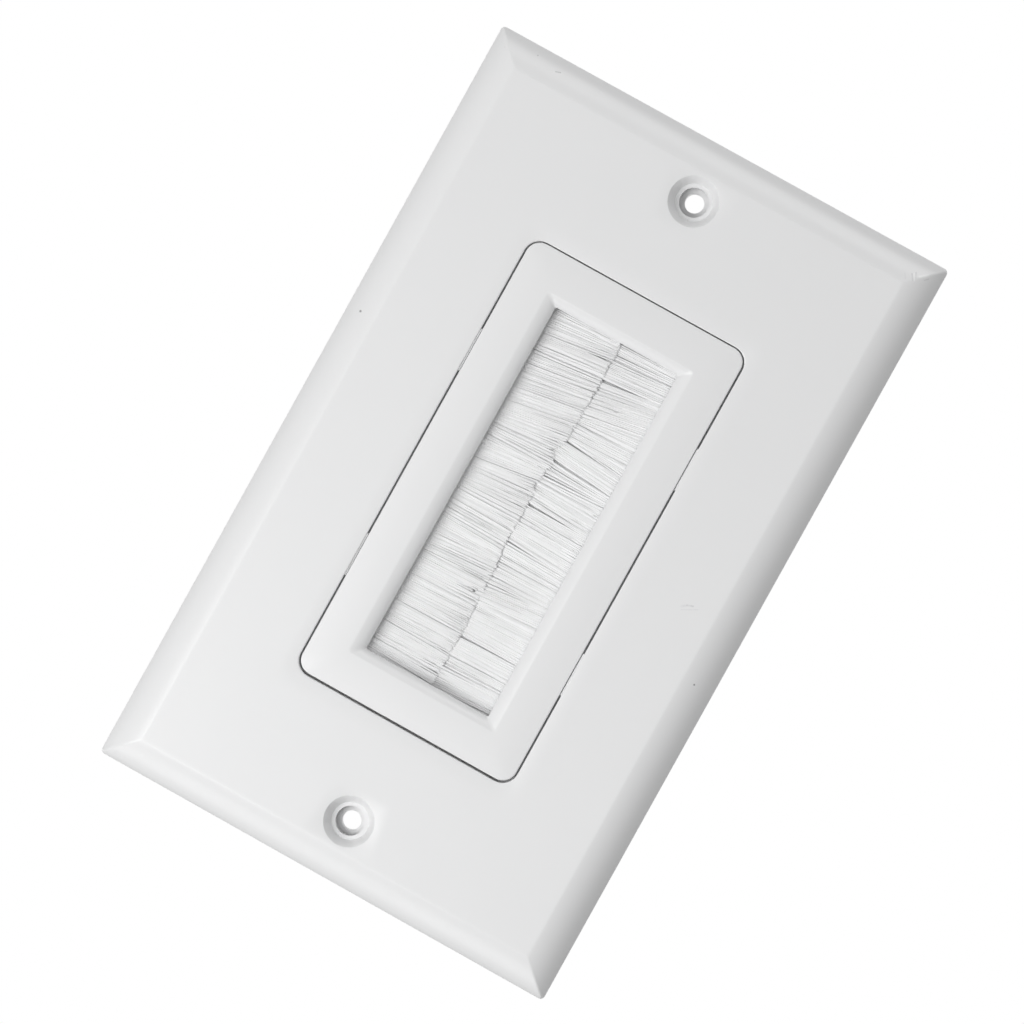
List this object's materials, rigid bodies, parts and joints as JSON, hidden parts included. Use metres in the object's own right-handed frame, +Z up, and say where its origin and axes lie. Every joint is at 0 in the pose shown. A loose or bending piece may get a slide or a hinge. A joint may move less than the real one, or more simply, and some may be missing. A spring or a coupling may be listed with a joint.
{
  "type": "brush wall plate",
  "caption": "Rectangular wall plate with a bevelled edge and a flush framed insert, whose window is closed by facing rows of soft bristles that cables pass between.",
  "frame": {"origin": "centre of the plate's outline on the wall's surface, where the plate's rear rim ends", "axes": "+Z up along the plate's long side, +X to the right seen from the room, +Y into the wall, so the face looks along -Y"},
  "size_m": [0.0698, 0.0099, 0.1142],
  "materials": {
    "white_moulding": "smooth white moulding with a soft gloss",
    "retainer_moulding": "satin off-white moulding",
    "nylon_bristle": "fine translucent white nylon filaments",
    "channel_aluminium": "mill finish folded sheet",
    "core_wire_steel": "drawn wire",
    "screw_zinc": "bright zinc plating"
  },
  "bodies": {
    "root": {"wall_plate": "white_moulding", "insert_frame": "white_moulding", "rear_retainer": "retainer_moulding", "bristles_left": "nylon_bristle", "bristles_right": "nylon_bristle", "brush_channel_left": "channel_aluminium", "brush_channel_right": "channel_aluminium", "core_wire_left": "core_wire_steel", "core_wire_right": "core_wire_steel", "retainer_screw_1": "screw_zinc", "retainer_screw_2": "screw_zinc", "retainer_screw_3": "screw_zinc", "retainer_screw_4": "screw_zinc"}
  },
  "joints": []
}
